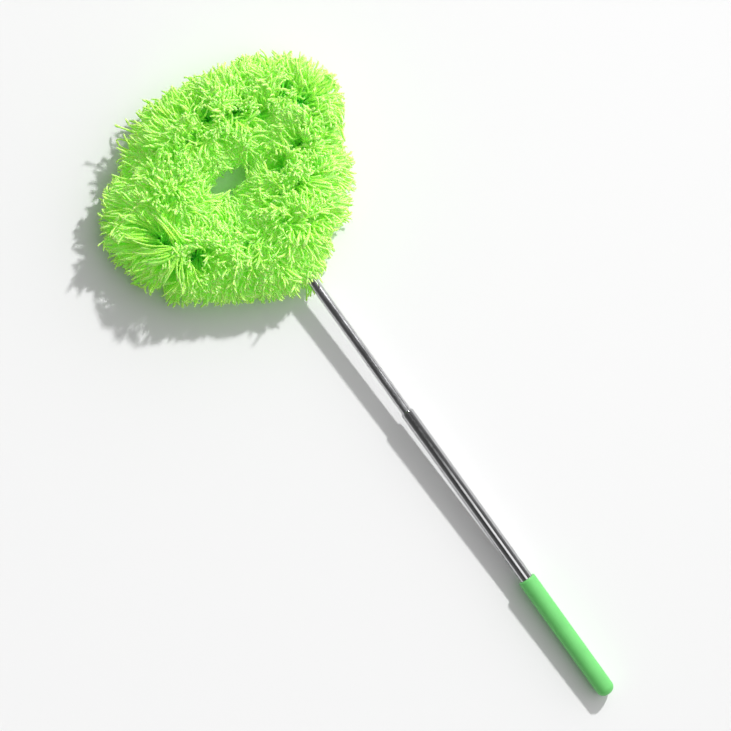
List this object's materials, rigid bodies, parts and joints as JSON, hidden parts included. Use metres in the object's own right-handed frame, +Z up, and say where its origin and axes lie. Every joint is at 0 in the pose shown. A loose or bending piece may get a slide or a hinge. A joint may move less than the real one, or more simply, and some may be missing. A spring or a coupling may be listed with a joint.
{
  "type": "telescopic ring duster",
  "caption": "Telescopic duster: round grip, nested polished steel tubes and a soft ring-shaped head of microfibre yarn pile on a wire loop, lying on a table.",
  "frame": {"origin": "on the table, under the middle of the duster's bounding box, lying at rest", "axes": "+X from the grip to the head, +Z up from the table, +Y to the left of someone looking from grip to head; the shaft rises 1.3 degrees towards the head"},
  "size_m": [0.687, 0.255, 0.058],
  "materials": {
    "green_grip": "satin",
    "polished_steel": "polished",
    "black_plastic": "matte",
    "brass": "satin",
    "spring_bronze": "satin",
    "rivet_steel": "satin",
    "wire_steel": "satin",
    "green_foam": "matte",
    "green_backing": "matte",
    "green_binding": "matte",
    "green_yarn": "matte"
  },
  "bodies": {
    "handle": {"grip_sleeve": "green_grip", "outer_tube": "polished_steel", "outer_plug": "black_plastic"},
    "middle_ring": {"middle_friction_ring": "spring_bronze"},
    "middle_section": {"middle_tube": "polished_steel", "middle_bush": "brass"},
    "inner_ring": {"inner_friction_ring": "spring_bronze"},
    "head_section": {"inner_tube": "polished_steel", "inner_bush": "brass", "head_socket": "black_plastic", "socket_rivet": "rivet_steel", "loop_wire": "wire_steel", "foam_sleeve": "green_foam", "backing_sleeve": "green_backing", "neck_binding": "green_binding", "yarn_pile": "green_yarn"}
  },
  "joints": [
    {"name": "middle_slide", "type": "slide", "parent": "handle", "child": "middle_ring", "axis": [0.9997, 0, 0.0227], "range_m": [0, 0.283]},
    {"name": "middle_spin", "type": "hinge", "parent": "middle_ring", "child": "middle_section", "pos_m": [-0.31551, 0, 0.00897], "axis": [0.9997, 0, 0.0227], "continuous": true},
    {"name": "inner_slide", "type": "slide", "parent": "middle_section", "child": "inner_ring", "axis": [0.9997, 0, 0.0227], "range_m": [-0.155, 0.105]},
    {"name": "inner_spin", "type": "hinge", "parent": "inner_ring", "child": "head_section", "pos_m": [-0.13655, 0, 0.01304], "axis": [0.9997, 0, 0.0227], "continuous": true}
  ]
}
